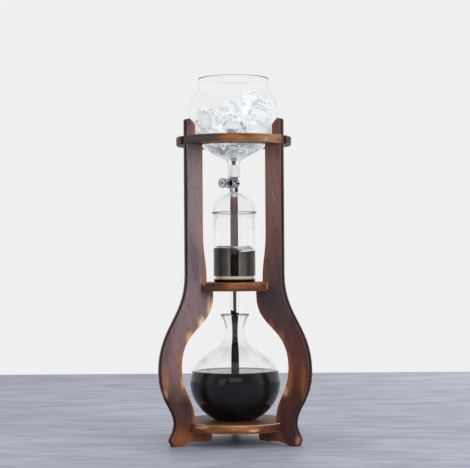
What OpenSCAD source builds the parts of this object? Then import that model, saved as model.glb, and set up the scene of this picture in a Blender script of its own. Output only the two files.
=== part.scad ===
/* [Wooden frame] */
// Thickness of the boards that the legs and plates are cut from
board = 12; // [9:0.5:15]
// Height of the base plate's underside above the floor
base_z = 20; // [14:1:28]
// How far the base plate reaches beyond the flask's widest circle
base_lip = 11.4; // [9:0.2:16]
// How far the middle plate reaches beyond the brewing cylinder
mid_lip = 28.2; // [22:0.2:34]
// Free height between the flask's rim and the middle plate
mid_room = 34; // [26:1:44]
// Width of the top ring's wood, from its hole to its rim
ring_width = 27.6; // [24:0.2:34]
// How far the top ring stands out beyond the legs
ring_lip = 4.2; // [2:0.2:7]
// How far the legs stand above the top ring
leg_rise = 24; // [16:1:30]
// Width of a leg under the top ring
leg_width = 23.8; // [20:0.2:28]
// Width of a leg at the widest part of its curve
bulge_width = 31.4; // [26:0.2:36]
// Space between the flask and a leg's curve
flask_room = 24.9; // [22:0.2:30]
// Height of the widest part of the curve above the base plate
bulge_rise = 73; // [60:1:85]
// Width of a leg at its ankle
ankle_width = 28.2; // [24:0.2:32]
// How far a foot's outer toe stands out beyond the ankle
toe_out = 8.5; // [5:0.5:12]
// How far a foot's inner toe reaches in under the base plate
toe_in = 28; // [20:1:34]
// Depth of the housing in a leg that holds the middle plate
mid_housing = 9.1; // [6:0.1:11]
// How far a leg's shoulder reaches on under the middle plate, past the housing
mid_shoulder = 10.5; // [7:0.5:13]
// Depth of the housing in a leg that holds the base plate
base_housing = 6.9; // [5:0.1:9]
// Radius of the wooden dowels
dowel_r = 2.5; // [1.5:0.1:3.5]
// Length of the wooden dowels
dowel_len = 20; // [14:1:22]
// Width of the eased edges of the plates
edge = 1; // [0.4:0.1:2]

/* [Ice globe] */
// Outer radius of the globe at its widest
globe_r = 64.8; // [60:0.2:70]
// Height of the globe below its widest circle
globe_low = 67; // [62:0.5:72]
// Height of the globe above its widest circle, if it closed
globe_high = 54; // [48:0.5:60]
// Outer radius of the globe's neck
neck_r = 49.5; // [44:0.5:52]
// Height of the rim above the globe's widest circle
globe_rim_rise = 49; // [46:0.5:60]
// Depth that the globe sinks into the ring, from its widest circle to the ring's top
ring_drop = 35; // [28:0.5:40]
// Outer radius of the stem under the globe
stem_r = 8.5; // [7.5:0.1:10]
// Length of the stem
stem_len = 23; // [18:0.5:30]
// Wall of the globe and its stem
globe_wall = 2.2; // [1.6:0.1:2.6]
// Length of the stopper in the stem
stopper_len = 15; // [11:0.5:17]

/* [Drip valve] */
// Radius of the valve's round body
valve_ball_r = 8.5; // [7.5:0.1:9.5]
// Height of the valve's body above and below its centre
valve_half = 11; // [10:0.1:14]
// Radius of the valve's pipes
valve_pipe_r = 5.3; // [4.5:0.1:6]
// Radius of the turning plug
plug_r = 3; // [2.5:0.1:3.4]
// Radius of the water way through the valve
way_r = 1.2; // [0.8:0.1:1.5]
// Radius of the valve's stem behind the knob
spindle_r = 2; // [1.6:0.1:2.2]
// Radius of the knob
knob_r = 7; // [6:0.1:8.5]
// Thickness of the knob
knob_t = 5; // [4:0.1:6]
// Distance from the valve's centre to the back of the knob
knob_out = 20.5; // [19:0.1:24]
// Outer radius of the drip tip
tip_r = 3.8; // [3.4:0.1:4.4]
// Length of the drip tip
tip_len = 7; // [6:0.5:10]

/* [Brewer] */
// Outer radius of the brewing cylinder
brewer_r = 30.2; // [27:0.2:33]
// Height of the brewing cylinder
brewer_h = 98.3; // [85:0.5:110]
// Wall of the brewing cylinder
brewer_wall = 2; // [1.5:0.1:2.5]
// Outer radius of the outlet tube
outlet_r = 6; // [5:0.1:7]
// Wall of the outlet tube
outlet_wall = 1.5; // [1:0.1:2]
// Slope of the cut at the outlet tube's tip
outlet_bevel = 22; // [0:1:35]
// Height of the domed lid above the cylinder
dome_h = 30.9; // [27:0.1:35]
// How far the domed lid stands out beyond the cylinder
dome_out = 0.7; // [0.3:0.1:1.2]
// Wall of the domed lid
dome_wall = 1.8; // [1.4:0.1:2.2]
// Radius of the hole in the top of the domed lid
dome_hole_r = 7.5; // [6:0.1:9]
// Thickness of the filter disc
filter_t = 4.5; // [3:0.1:6]
// Width of the rubber ring round the filter disc
filter_ring = 3; // [2:0.1:4]

/* [Flask] */
// Outer radius of the flask at its widest
flask_r = 65; // [60:0.5:70]
// Height of the flask
flask_h = 152; // [140:1:165]
// Height of the flask's widest circle above its base
flask_mid = 54.5; // [50:0.5:58]
// Outer radius of the flask's neck
flask_neck_r = 13.4; // [12:0.1:16]
// Outer radius of the flask's rim
flask_rim_r = 21.4; // [18:0.1:24]
// Wall of the flask
flask_wall = 2; // [1.5:0.1:2.5]

/* [Hidden] */
$fn = 96;

// Legs stand at these angles round the axis, seen from above
left_angle = 210;
right_angle = 330;
back_angle = 90;
leg_angles = [left_angle, right_angle, back_angle];
knob_angle = 225;

// Clearances: glued wood, glass on wood, a turning fit and a glass lid in its cylinder
glue_gap = 0.05;
seat_gap = 0.3;
turn_gap = 0.04;
lid_gap = 0.35;
// Room for the outlet tube in the middle plate, and for the flask's rim to slide out under the tube
hole_room = 3;
slide_gap = 1.2;
// Room between the globe and the tops of the legs
globe_room = 1.2;
// How much longer the valve's outlet pipe is than its inlet pipe
outlet_drop = 1.6;
// Length of a cut that runs out of a small piece
far = 60;

// Heights, stacked from the floor up
base_top = base_z + board;
flask_rim_z = base_top + flask_h;
outlet_end_z = flask_rim_z + slide_gap;
mid_z = flask_rim_z + mid_room;
mid_top = mid_z + board;
brewer_rim_z = mid_top + brewer_h;
dome_top_z = brewer_rim_z + dome_h;
valve_end_z = dome_top_z + seat_gap;
valve_z = valve_end_z + valve_half + outlet_drop;
stem_end_z = valve_z + valve_half;
bowl_z = stem_end_z + stem_len;
globe_z = bowl_z + globe_low;
globe_rim_z = globe_z + globe_rim_rise;
ring_top = globe_z - ring_drop;
ring_z = ring_top - board;
leg_top = ring_top + leg_rise;

// The globe touches the ring's upper edge here, and seat_lean turns the gap along the glass's slope
seat_drop = ring_drop + edge;
seat_r = globe_r * sqrt(1 - pow(seat_drop / globe_low, 2));
seat_lean = norm([seat_r / pow(globe_r, 2), seat_drop / pow(globe_low, 2)]) / (seat_r / pow(globe_r, 2));

// Radii, from the glass outwards
ring_hole_r = seat_r + seat_gap * seat_lean;
ring_r = ring_hole_r + ring_width;
leg_out = ring_r - ring_lip;
leg_in = leg_out - leg_width;
tenon_in = globe_r + globe_room;
mid_r = brewer_r + mid_lip;
waist_in = mid_r - mid_housing;
shoulder_in = waist_in - mid_shoulder;
mid_hole_r = outlet_r + hole_room;
base_r = flask_r + base_lip;
ankle_in = base_r - base_housing;
ankle_out = ankle_in + ankle_width;
bulge_in = flask_r + flask_room;
bulge_out = bulge_in + bulge_width;
bulge_z = base_top + bulge_rise;

// A stretch of an ellipse, from one angle to another
function arc(centre, rx, ry, from, to, steps) =
    [for (i = [0:steps]) let (a = from + (to - from) * i / steps) centre + [rx * cos(a), ry * sin(a)]];

// A smooth curve between two points with a handle on each
function bend(a, a_handle, b_handle, b, steps = 8) =
    [for (i = [0:steps]) let (t = i / steps, u = 1 - t)
        u * u * u * a + 3 * u * u * t * a_handle + 3 * u * t * t * b_handle + t * t * t * b];

// The same path moved sideways by the wall's thickness, to its left
function inset(path, wall) =
    [for (i = [0:len(path) - 1])
        let (step = path[min(i + 1, len(path) - 1)] - path[max(i - 1, 0)])
        path[i] + wall * [-step.y, step.x] / norm(step)];

function reverse(path) = [for (i = [len(path) - 1:-1:0]) path[i]];

// The same points without the ones that repeat where two curves meet
function joined(path) = [for (i = [0:len(path) - 1]) if (i == 0 || norm(path[i] - path[i - 1]) > 0.01) path[i]];

// Glass drawn to one wall thickness along a path, with a fire-polished rim at its end
module glass(path, wall) {
    rim = path[len(path) - 1];
    inner = inset(path, wall);
    rim_in = inner[len(inner) - 1];
    rim_mid = (rim + rim_in) / 2;
    across = (rim - rim_in) / 2;
    along = [-across.y, across.x];
    polish = [for (a = [30:30:150]) rim_mid + across * cos(a) + along * sin(a)];
    rotate_extrude() polygon(concat(path, polish, reverse(inner)));
}

// A round plate with eased edges and a centre hole
module plate(r, hole_r, z) {
    translate([0, 0, z]) rotate_extrude() polygon([
        [hole_r, edge], [hole_r + edge, 0], [r - edge, 0], [r, edge],
        [r, board - edge], [r - edge, board], [hole_r + edge, board], [hole_r, board - edge]
    ]);
}

// ---------------------------------------------------------------- frame

// Heights above the middle plate's top where a leg's outer and inner edges begin to run straight up
outer_straight = 11;
inner_straight = 70;
// How much higher the curve is widest at its inner edge than at its outer edge
bulge_shift = 5;
// Rounding of a leg's top, and height of the slant inside it that guides the globe in
top_round = 4;
top_slant = 9;
// Radius of the inner toe, height of the outer toe, arch under the foot, and where the foot meets the floor
toe_r = 8;
toe_rise = 8;
arch_h = 8;
heel_in = 22;
sole_edge = 4;

// Outline of a leg: distance from the tower's axis, and height
function leg_outer() = let (straight_z = mid_top + outer_straight, climb = straight_z - bulge_z) concat(
    bend([ankle_out + toe_out, toe_rise], [ankle_out + toe_out, 1.75 * toe_rise], [ankle_out, 2.4 * toe_rise],
        [ankle_out, base_top]),
    bend([ankle_out, base_top], [ankle_out, base_top + 0.29 * bulge_rise], [bulge_out, bulge_z - 0.56 * bulge_rise],
        [bulge_out, bulge_z]),
    bend([bulge_out, bulge_z], [bulge_out, bulge_z + 0.47 * climb], [leg_out, straight_z - 0.44 * climb],
        [leg_out, straight_z], 14),
    bend([leg_out, leg_top - top_round], [leg_out, leg_top - top_round / 4], [leg_out - top_round / 4, leg_top],
        [leg_out - top_round, leg_top], 4)
);

function leg_inner() = let (climb = mid_z - bulge_z) concat(
    [[tenon_in + top_round, leg_top - top_round], [tenon_in, leg_top - top_slant],
     [tenon_in, ring_z], [leg_in, ring_z]],
    bend([leg_in, mid_top + inner_straight], [leg_in, mid_top + 0.56 * inner_straight],
        [waist_in, mid_top + 0.47 * inner_straight], [waist_in, mid_top + 0.06 * inner_straight]),
    [[waist_in, mid_z + board / 2], [shoulder_in, mid_z + board / 2]],
    bend([shoulder_in, mid_z - board / 2], [shoulder_in, mid_z - 0.49 * climb],
        [bulge_in, bulge_z + 0.58 * climb], [bulge_in, bulge_z + bulge_shift], 14),
    bend([bulge_in, bulge_z + bulge_shift], [bulge_in, bulge_z - 0.4 * bulge_rise],
        [ankle_in, base_top + 0.45 * bulge_rise], [ankle_in, base_top + 0.06 * bulge_rise])
);

// The foot: its inner toe carries the base plate, its underside is arched
function leg_foot() = let (tip = ankle_in - toe_in + toe_r, round_from = 75, round_to = 230) concat(
    [[ankle_in, base_z + board / 2], [tip + toe_r * cos(round_from), base_z + board / 2]],
    arc([tip, base_z - toe_r], toe_r, toe_r, round_from, round_to, 8),
    bend([tip + toe_r, 0.6 * arch_h], [tip + 3 * toe_r, arch_h], [ankle_in + heel_in / 2, arch_h / 2],
        [ankle_in + heel_in, 0]),
    [[ankle_out + toe_out - sole_edge, 0]]
);

module leg(angle) {
    difference() {
        rotate([90, 0, angle]) linear_extrude(board, center = true)
            polygon(joined(concat(leg_outer(), leg_inner(), leg_foot())));
        translate([0, 0, mid_z]) cylinder(r = mid_r + glue_gap, h = board + glue_gap);
        translate([0, 0, base_z]) cylinder(r = base_r + glue_gap, h = board + glue_gap);
        ring_dowel(angle, glue_gap);
        rim_dowel(angle, mid_r, mid_z, glue_gap);
        rim_dowel(angle, base_r, base_z, glue_gap);
    }
}

// A dowel standing half in a leg's shoulder and half in the ring, short of the ring's top
module ring_dowel(angle, gap = 0) {
    length = min(dowel_len, 1.5 * board);
    middle = (ring_hole_r + edge + tenon_in) / 2;
    rotate(angle) translate([middle, 0, ring_z - length / 2 - gap])
        cylinder(r = dowel_r + gap, h = length + 2 * gap);
}

// A dowel lying half in a plate's rim and half in the leg outside it
module rim_dowel(angle, r, z, gap = 0) {
    rotate(angle) translate([r - dowel_len / 2 - gap, 0, z + board / 2]) rotate([0, 90, 0])
        cylinder(r = dowel_r + gap, h = dowel_len + 2 * gap);
}

module leg_left() { color("#4a2f28") leg(left_angle); }
module leg_right() { color("#5a3428") leg(right_angle); }
module leg_back() { color("#3d2720") leg(back_angle); }

// The globe hangs in this ring, and the legs pass up through notches in its rim
module top_ring() {
    color("#8a5228") difference() {
        plate(ring_r, ring_hole_r, ring_z);
        for (angle = leg_angles) {
            rotate(angle) translate([tenon_in - glue_gap, -board / 2 - glue_gap, ring_z - 1])
                cube([ring_r, board + 2 * glue_gap, board + 2]);
            ring_dowel(angle, glue_gap);
        }
    }
}

// The brewer stands on this plate, and its outlet tube passes through the hole
module mid_plate() {
    color("#7a3f22") difference() {
        plate(mid_r, mid_hole_r, mid_z);
        for (angle = leg_angles) rim_dowel(angle, mid_r, mid_z, glue_gap);
    }
}

// The flask stands on this plate
module base_plate() {
    color("#9a5c2e") difference() {
        translate([0, 0, base_z]) rotate_extrude() polygon([
            [0, 0], [base_r - edge, 0], [base_r, edge],
            [base_r, board - edge], [base_r - edge, board], [0, board]
        ]);
        for (angle = leg_angles) rim_dowel(angle, base_r, base_z, glue_gap);
    }
}

module ring_dowels() { color("burlywood") for (angle = leg_angles) ring_dowel(angle); }
module mid_dowels() { color("burlywood") for (angle = leg_angles) rim_dowel(angle, mid_r, mid_z); }
module base_dowels() { color("burlywood") for (angle = leg_angles) rim_dowel(angle, base_r, base_z); }

// ---------------------------------------------------------------- ice globe

// Height of the globe's straight neck under its rim, and how far the rim is flared
neck_len = 11;
lip_out = 1;
// Room between the neck and the circle where the globe's curve ends
shoulder_out = 6.5;

function globe_path() =
    let (
        low = -72,
        high = acos((neck_r + shoulder_out) / globe_r),
        start = [globe_r * cos(low), globe_z + globe_low * sin(low)],
        shoulder = [globe_r * cos(high), globe_z + globe_high * sin(high)]
    )
    concat(
        [[stem_r, stem_end_z]],
        bend([stem_r, bowl_z - 0.26 * stem_len], [stem_r, bowl_z - 0.02 * stem_len],
            start - globe_r * [0.088, 0.029], start, 6),
        arc([0, globe_z], globe_r, globe_low, low + 4, 0, 16),
        arc([0, globe_z], globe_r, globe_high, high / 6, high, 5),
        bend(shoulder, shoulder + globe_r * [-0.04, 0.057], [neck_r, globe_rim_z - 1.36 * neck_len],
            [neck_r, globe_rim_z - neck_len], 5),
        bend([neck_r, globe_rim_z - 0.55 * neck_len], [neck_r, globe_rim_z - 0.27 * neck_len],
            [neck_r + 0.3 * lip_out, globe_rim_z - 0.7 * globe_wall], [neck_r + lip_out, globe_rim_z - globe_wall / 2], 4)
    );

module globe() { color("#cfe3ea", 0.35) glass(globe_path(), globe_wall); }

// Sizes of the soft bung: its flange, the flange's overhang and the slanted nose
bung_flange = 1.6;
bung_lip = 0.8;
bung_nose = 3;
// The valve's inlet pipe ends in a nipple that goes up into the bung
nipple_r = 3.9;
nipple_len = 9;
nipple_nose = 1;

// Tapered rubber bung with a flange under the stem's end, bored for the valve's nipple
module stem_stopper() {
    outer = stem_r - globe_wall - glue_gap;
    color("#f2f2ee") translate([0, 0, stem_end_z]) rotate_extrude() polygon([
        [nipple_r, -bung_flange], [stem_r + bung_lip, -bung_flange], [stem_r + bung_lip, 0], [outer, 0],
        [outer, stopper_len - bung_nose], [outer - bung_lip, stopper_len], [nipple_r, stopper_len]
    ]);
}

// ---------------------------------------------------------------- drip valve

// The outlet nipple inside the drip tip
outlet_nipple_r = tip_r - 1.5;
outlet_nipple_len = 4;
// The boss on the valve's side: its radius and length, and the plug's reach behind and before the centre
boss_r = plug_r + 2.4;
boss_out = 12.4;
plug_back = 6;
plug_front = 8.2;
// The soft packing round the spindle, and the nut that squeezes it
packing_t = 2.2;
packing_wall = 2;
nut_back = valve_ball_r + 1.1;
nut_face = 14.6;
nut_wall = 1.8;
// The knob's hub and ribs, and its screw
hub_len = 1.5;
hub_wall = 1.6;
dish = 1;
rib_count = 24;
rib_r = 0.5;
screw_r = 0.9;
screw_head_r = 2.4;
screw_head_t = 1.4;

// Turns a shape drawn along +Z so that it lies on the knob's axis, from the valve's centre out
module on_knob_axis() {
    translate([0, 0, valve_z]) rotate([0, 90, knob_angle]) children();
}

module valve_body() {
    shoulder_z = stem_end_z - bung_flange;
    top_r = valve_pipe_r - 0.7;
    ease = 0.4;
    color("#c9ccd0") difference() {
        union() {
            translate([0, 0, valve_z]) sphere(valve_ball_r);
            rotate_extrude() polygon(concat(
                [[0, valve_end_z], [valve_pipe_r - ease, valve_end_z], [valve_pipe_r, valve_end_z + ease],
                 [valve_pipe_r, valve_z]],
                bend([valve_pipe_r, valve_z + valve_half / 3], [valve_pipe_r, valve_z + 0.6 * valve_half],
                    [top_r, shoulder_z - 0.25 * valve_half], [top_r, shoulder_z], 4),
                [[nipple_r - glue_gap, shoulder_z], [nipple_r - glue_gap, shoulder_z + nipple_len - nipple_nose],
                 [nipple_r - nipple_nose, shoulder_z + nipple_len], [0, shoulder_z + nipple_len]]
            ));
            translate([0, 0, valve_end_z - outlet_nipple_len])
                cylinder(r = outlet_nipple_r - glue_gap, h = outlet_nipple_len + 1);
            on_knob_axis() cylinder(r = boss_r, h = boss_out);
        }
        translate([0, 0, valve_end_z - outlet_nipple_len - 1]) cylinder(r = way_r, h = far);
        on_knob_axis() {
            translate([0, 0, -plug_back - turn_gap]) cylinder(r = plug_r + turn_gap, h = far);
            translate([0, 0, plug_front + turn_gap]) cylinder(r = spindle_r + packing_wall, h = far);
        }
    }
}

// Soft ring squeezed round the spindle by the gland nut
module valve_packing() {
    color("white") on_knob_axis() translate([0, 0, plug_front + 2 * turn_gap]) difference() {
        cylinder(r = spindle_r + packing_wall - glue_gap, h = packing_t);
        translate([0, 0, -1]) cylinder(r = spindle_r + turn_gap, h = packing_t + 2);
    }
}

// Hexagonal cap nut screwed over the boss
module valve_gland_nut() {
    color("#b8bbc0") on_knob_axis() difference() {
        translate([0, 0, nut_back]) cylinder(r = boss_r + nut_wall, h = nut_face - nut_back, $fn = 6);
        translate([0, 0, nut_back - 1]) cylinder(r = boss_r + glue_gap, h = boss_out - nut_back + 1 + glue_gap);
        cylinder(r = spindle_r + turn_gap + glue_gap, h = nut_face + 1);
    }
}

// The plug's cross hole lines up with the water way when the valve is open
module valve_plug() {
    color("#a9acb2") difference() {
        on_knob_axis() {
            translate([0, 0, -plug_back]) cylinder(r = plug_r, h = plug_back + plug_front);
            cylinder(r = spindle_r, h = knob_out + knob_t - dish - hub_len / 2);
        }
        translate([0, 0, valve_z - plug_r - 1]) cylinder(r = way_r, h = 2 * plug_r + 2);
        on_knob_axis() translate([0, 0, knob_out - 2]) cylinder(r = screw_r, h = knob_t + 4);
    }
}

// Round knob with a ribbed rim and a dished face
module valve_knob() {
    ease = 0.5;
    rim_w = 1.6;
    seat_z = knob_t - 1.5 * dish;
    color("#c4c7cc") on_knob_axis() translate([0, 0, knob_out]) difference() {
        rotate_extrude() polygon([
            [spindle_r + glue_gap, -hub_len], [spindle_r + hub_wall, -hub_len], [spindle_r + hub_wall, 0],
            [knob_r - ease, 0], [knob_r, ease], [knob_r, knob_t - ease], [knob_r - ease, knob_t],
            [knob_r - rim_w, knob_t], [knob_r - rim_w - ease, knob_t - dish], [screw_head_r + 0.2, knob_t - dish],
            [screw_head_r + 0.2, seat_z], [spindle_r + glue_gap, seat_z]
        ]);
        for (i = [1:rib_count])
            rotate(i * 360 / rib_count) translate([knob_r + rib_r / 2, 0, -1]) cylinder(r = rib_r, h = knob_t + 2);
    }
}

// Pan-head screw that holds the knob on its spindle
module knob_screw() {
    head_z = knob_out + knob_t - 1.5 * dish;
    slot_w = 0.6;
    color("#55585c") on_knob_axis() difference() {
        union() {
            translate([0, 0, knob_out - 1]) cylinder(r = screw_r - glue_gap, h = knob_t);
            translate([0, 0, head_z]) cylinder(r = screw_head_r, h = screw_head_t);
        }
        translate([-screw_head_r, -slot_w / 2, head_z + screw_head_t / 2])
            cube([2 * screw_head_r, slot_w, screw_head_t]);
    }
}

// Soft tip that the drops fall from, inside the domed lid
module drip_tip() {
    nose = 1;
    color("#f4f1ee") rotate_extrude() polygon([
        [way_r, valve_end_z - tip_len], [tip_r - nose, valve_end_z - tip_len], [tip_r, valve_end_z - tip_len + 2 * nose],
        [tip_r, valve_end_z], [outlet_nipple_r, valve_end_z],
        [outlet_nipple_r, valve_end_z - outlet_nipple_len], [way_r, valve_end_z - outlet_nipple_len]
    ]);
}

// ---------------------------------------------------------------- brewer

// The lid's bead and skirt
bead_h = 3;
skirt_len = 6;
// The cylinder's floor, its corners and the fillet under it, and the funnel from the floor to the tube
floor_t = 3.4;
corner_r = 4;
corner_in_r = 1.5;
fillet = 2.5;
funnel = 4;
// Eased edges of ground glass
glass_ease = 0.5;

// Domed lid: a bead rests on the cylinder's rim, and a skirt keeps it centred
module dome_lid() {
    dome_r = brewer_r + dome_out;
    skirt_r = brewer_r - brewer_wall - lid_gap;
    spring_z = brewer_rim_z + bead_h;
    hole_angle = acos(dome_hole_r / dome_r);
    rise = (dome_h - bead_h) / sin(hole_angle);
    path = arc([0, spring_z], dome_r, rise, 0, hole_angle, 12);
    bead = arc([dome_r, brewer_rim_z + bead_h / 2], bead_h / 2, bead_h / 2, -90, 90, 6);
    color("#cfe3ea", 0.35) rotate_extrude() polygon(joined(concat(
        bead, path, reverse(inset(path, dome_wall)),
        [[skirt_r - dome_wall, brewer_rim_z - glass_ease], [skirt_r - dome_wall, brewer_rim_z - skirt_len],
         [skirt_r, brewer_rim_z - skirt_len], [skirt_r, brewer_rim_z]]
    )));
}

// Brewing cylinder and its outlet tube, one piece of glass
module brewer() {
    bore = brewer_r - brewer_wall;
    tube_bore = outlet_r - outlet_wall;
    floor_z = mid_top + floor_t;
    path = concat(
        [[outlet_r, outlet_end_z]],
        bend([outlet_r, mid_top - fillet], [outlet_r, mid_top - 0.3 * fillet], [outlet_r + 0.3 * fillet, mid_top],
            [outlet_r + fillet, mid_top], 4),
        arc([brewer_r - corner_r, mid_top + corner_r], corner_r, corner_r, -90, 0, 6),
        [[brewer_r, brewer_rim_z - glass_ease], [brewer_r - glass_ease, brewer_rim_z]]
    );
    inside = concat(
        [[bore + glass_ease, brewer_rim_z], [bore, brewer_rim_z - glass_ease]],
        arc([bore - corner_in_r, floor_z + corner_in_r], corner_in_r, corner_in_r, 0, -90, 4),
        [[tube_bore + funnel, floor_z - funnel / 4], [tube_bore, floor_z - 0.9 * funnel], [tube_bore, outlet_end_z]]
    );
    color("#cfe3ea", 0.35) difference() {
        rotate_extrude() polygon(concat(path, inside));
        translate([outlet_r, 0, outlet_end_z]) rotate([0, outlet_bevel, 0])
            translate([-4 * outlet_r, -2 * outlet_r, -far]) cube([8 * outlet_r, 4 * outlet_r, far]);
    }
}

// The disc's place on the floor, its height above the glass, and the holes through it
filter_z = mid_top + floor_t;
filter_r = brewer_r - brewer_wall - filter_ring - seat_gap;
filter_lift = 0.4;
filter_hole_r = 0.8;
filter_rings = 5;
filter_margin = 3;

// Ceramic disc with rings of holes, under the ground coffee
module filter_disc() {
    color("#ece8df") translate([0, 0, filter_z + filter_lift]) difference() {
        rotate_extrude() polygon([
            [0, 0], [filter_r - glass_ease, 0], [filter_r, glass_ease], [filter_r, filter_t - glass_ease],
            [filter_r - glass_ease, filter_t], [0, filter_t]
        ]);
        for (ring = [0:filter_rings - 1])
            for (i = [1:max(1, 6 * ring)])
                rotate(i * 60 / max(1, ring)) translate([ring * (filter_r - filter_margin) / filter_rings, 0, -1])
                    cylinder(r = filter_hole_r, h = filter_t + 2);
    }
}

// Rubber ring that grips the disc's edge and seals it to the glass
module filter_ring_seal() {
    outer = brewer_r - brewer_wall - glue_gap;
    under = 1.4;
    heel = 1.8;
    lip = 0.8;
    color("#dfe3e2") translate([0, 0, filter_z]) rotate_extrude() polygon([
        [filter_r - under, 0], [outer - heel, 0], [outer, heel], [outer, filter_t],
        [outer - lip, filter_t + lip], [filter_r + glue_gap, filter_t + lip],
        [filter_r + glue_gap, filter_lift], [filter_r - under, filter_lift]
    ]);
}

// ---------------------------------------------------------------- flask

// Half heights of the two ellipses that the body follows below and above its widest circle
flask_low = 60;
flask_high = 52;
// Radius of the flat foot, and depth of the neck's narrowest place under the rim
base_flat = 24;
neck_drop = 26;

function flask_path() =
    let (
        middle = [0, base_top + flask_mid],
        corner_a = -58,
        shoulder_a = 56,
        corner = middle + [flask_r * cos(corner_a), flask_low * sin(corner_a)],
        shoulder = middle + [flask_r * cos(shoulder_a), flask_high * sin(shoulder_a)],
        neck_low = [flask_neck_r, flask_rim_z - neck_drop]
    )
    concat(
        [[0, base_top]],
        bend([base_flat, base_top], [1.2 * base_flat, base_top], corner - flask_r * [0.054, 0.031], corner, 4),
        arc(middle, flask_r, flask_low, corner_a + 4, 0, 12),
        arc(middle, flask_r, flask_high, shoulder_a / 10, shoulder_a, 9),
        bend(shoulder, shoulder + flask_r * [-0.217, 0.115], neck_low - [0, 0.54 * neck_drop], neck_low, 7),
        bend(neck_low, neck_low + [0, 0.46 * neck_drop], [0.8 * flask_rim_r, flask_rim_z - 0.27 * neck_drop],
            [flask_rim_r - 0.4 * flask_wall, flask_rim_z - 0.75 * flask_wall], 7)
    );

module flask() { color("#cfe3ea", 0.35) glass(joined(flask_path()), flask_wall); }

leg_left();
leg_right();
leg_back();
top_ring();
mid_plate();
base_plate();
ring_dowels();
mid_dowels();
base_dowels();
globe();
stem_stopper();
valve_body();
valve_packing();
valve_gland_nut();
drip_tip();
valve_plug();
valve_knob();
knob_screw();
dome_lid();
brewer();
filter_disc();
filter_ring_seal();
flask();
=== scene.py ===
import math
import random

import bmesh
import bpy
from mathutils import Euler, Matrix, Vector, noise


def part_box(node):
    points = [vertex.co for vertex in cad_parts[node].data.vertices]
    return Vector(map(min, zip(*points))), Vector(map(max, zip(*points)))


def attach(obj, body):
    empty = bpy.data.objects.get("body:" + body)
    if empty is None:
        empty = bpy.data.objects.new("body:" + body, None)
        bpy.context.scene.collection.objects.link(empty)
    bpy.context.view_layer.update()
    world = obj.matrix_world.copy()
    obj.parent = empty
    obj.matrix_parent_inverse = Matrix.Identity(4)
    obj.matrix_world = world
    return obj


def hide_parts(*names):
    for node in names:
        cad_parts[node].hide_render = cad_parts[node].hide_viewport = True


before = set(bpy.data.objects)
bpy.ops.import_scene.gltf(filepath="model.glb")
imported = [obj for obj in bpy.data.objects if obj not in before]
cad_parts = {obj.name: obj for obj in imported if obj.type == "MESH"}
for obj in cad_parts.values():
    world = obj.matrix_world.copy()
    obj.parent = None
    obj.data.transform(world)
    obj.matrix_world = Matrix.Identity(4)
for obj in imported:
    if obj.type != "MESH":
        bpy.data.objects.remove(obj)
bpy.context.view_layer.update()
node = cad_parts

# ---------------------------------------------------------------- studio
# A photographer's table in front of a plain pale wall. The camera stands level, a little above the flask's neck,
# and is rolled by a fraction of a degree, as the photograph is.
MM = 0.001
camera_distance = 2059 * MM
camera_height = 271.2 * MM
picture_width_px = 470
picture_height_px = 468
focal_px = 1430
horizon_px = 253.5
axis_px = 234.4
camera_roll = math.radians(0.39)

scene = bpy.context.scene
scene.view_settings.view_transform = "Standard"
camera = bpy.data.objects.new("view_camera", bpy.data.cameras.new("view_camera"))
camera.data.sensor_width = 36
camera.data.lens = camera.data.sensor_width * focal_px / picture_width_px
camera.data.shift_x = (picture_width_px / 2 - axis_px) / picture_width_px
camera.data.shift_y = (horizon_px - picture_height_px / 2) / picture_width_px
camera.location = (0, -camera_distance, camera_height)
camera.rotation_euler = Euler((math.radians(90), camera_roll, 0), "XYZ")
scene.collection.objects.link(camera)
scene.camera = camera


def add(tree, kind, values=None, **settings):
    """Adds one shader node. A value is a number, a colour or another node's output."""
    made = tree.nodes.new(kind)
    for key, value in settings.items():
        setattr(made, key, value)
    for socket, value in (values or {}).items():
        if isinstance(value, bpy.types.NodeSocket):
            tree.links.new(value, made.inputs[socket])
        else:
            made.inputs[socket].default_value = value
    return made


def new_finish(name):
    """An empty material with its output node."""
    made = bpy.data.materials.new(name)
    made.use_nodes = True
    made.node_tree.nodes.clear()
    return made, made.node_tree, made.node_tree.nodes.new("ShaderNodeOutputMaterial")


def surfaced(tree, out, values):
    """Ends a material in one surface shader with these values."""
    skin = add(tree, "ShaderNodeBsdfPrincipled", values)
    tree.links.new(skin.outputs[0], out.inputs["Surface"])


def flat_sheet(name, corners):
    """A four-cornered sheet of the set. Returns it with its material's nodes and output."""
    mesh = bpy.data.meshes.new(name)
    mesh.from_pydata(corners, [], [(0, 1, 2, 3)])
    sheet = bpy.data.objects.new(name, mesh)
    scene.collection.objects.link(sheet)
    finish, tree, out = new_finish(name)
    mesh.materials.append(finish)
    return sheet, tree, out


def table_sheet(name, colours, corners):
    """The top of the table, painted board with faint streaks across the view."""
    sheet, tree, out = flat_sheet(name, corners)
    place = add(tree, "ShaderNodeTexCoord").outputs["Object"]
    drawn = add(tree, "ShaderNodeVectorMath", {0: place, 1: (7, 26, 1)}, operation="MULTIPLY").outputs[0]
    streaks = add(tree, "ShaderNodeTexNoise", {"Vector": drawn, "Scale": 1, "Detail": 4, "Roughness": 0.62,
                                               "Distortion": 0.9}).outputs["Fac"]
    share = add(tree, "ShaderNodeMapRange", {"Value": streaks, "From Min": 0.39, "From Max": 0.61}).outputs[0]
    colour = add(tree, "ShaderNodeMixRGB", {0: share, 1: colours[0], 2: colours[1]}).outputs[0]
    surfaced(tree, out, {"Base Color": colour, "Roughness": 0.55, "Specular IOR Level": 0.3})


table_reach = 4
table_back = 1.18
table_colours = ((0.265, 0.28, 0.35, 1), (0.375, 0.385, 0.46, 1))
table_sheet("table_top", table_colours, [(-table_reach, -table_reach, 0), (table_reach, -table_reach, 0),
                                         (table_reach, table_back, 0), (-table_reach, table_back, 0)])

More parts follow.
